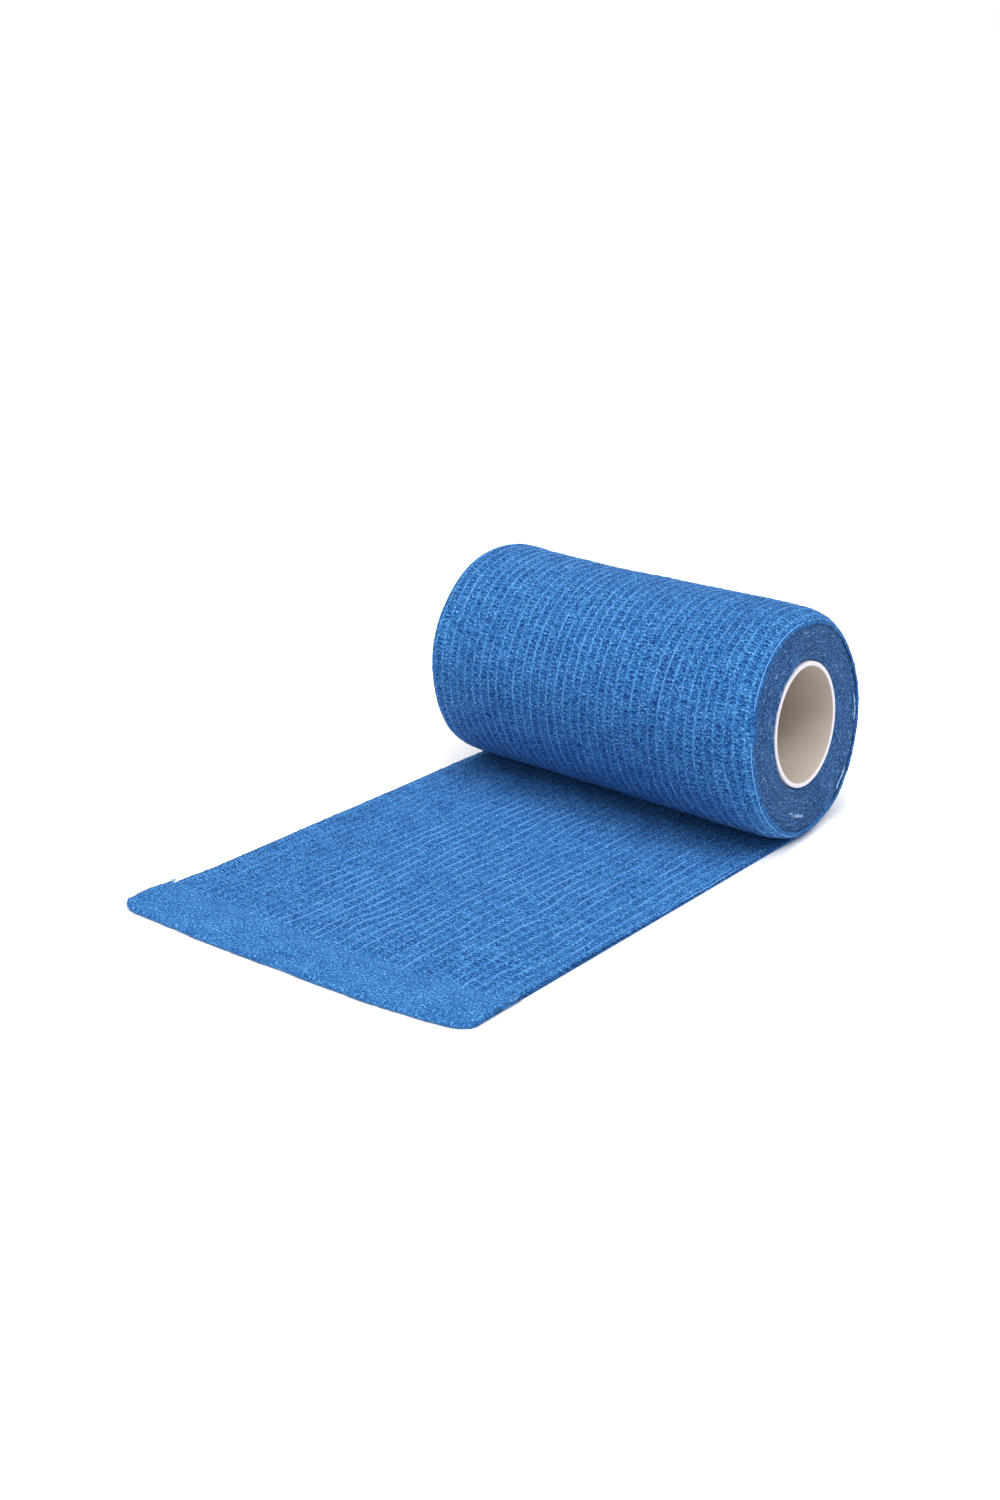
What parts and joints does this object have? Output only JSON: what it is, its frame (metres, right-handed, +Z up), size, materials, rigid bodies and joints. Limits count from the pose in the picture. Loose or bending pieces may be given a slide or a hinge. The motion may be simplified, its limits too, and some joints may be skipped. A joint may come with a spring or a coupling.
{
  "type": "cohesive bandage roll",
  "caption": "Elastic crepe bandage wound on a plastic core tube, lying on its side with its loose end laid out flat and doubled back at the tip.",
  "frame": {"origin": "on the surface the part rests on, straight below the middle of the roll's axis, on the underside of the cloth", "axes": "+X along the roll's axis towards its rounded end, -Y the way the loose end runs out, +Z up"},
  "size_m": [0.107, 0.1686, 0.06],
  "materials": {
    "core_plastic": "white moulded polypropylene, slightly satin",
    "bandage_cloth": "matt mid-blue non-woven crepe with elastic threads along its length"
  },
  "bodies": {
    "root": {"core_tube": "core_plastic", "bandage_roll": "bandage_cloth", "bandage_tail": "bandage_cloth"}
  },
  "joints": []
}
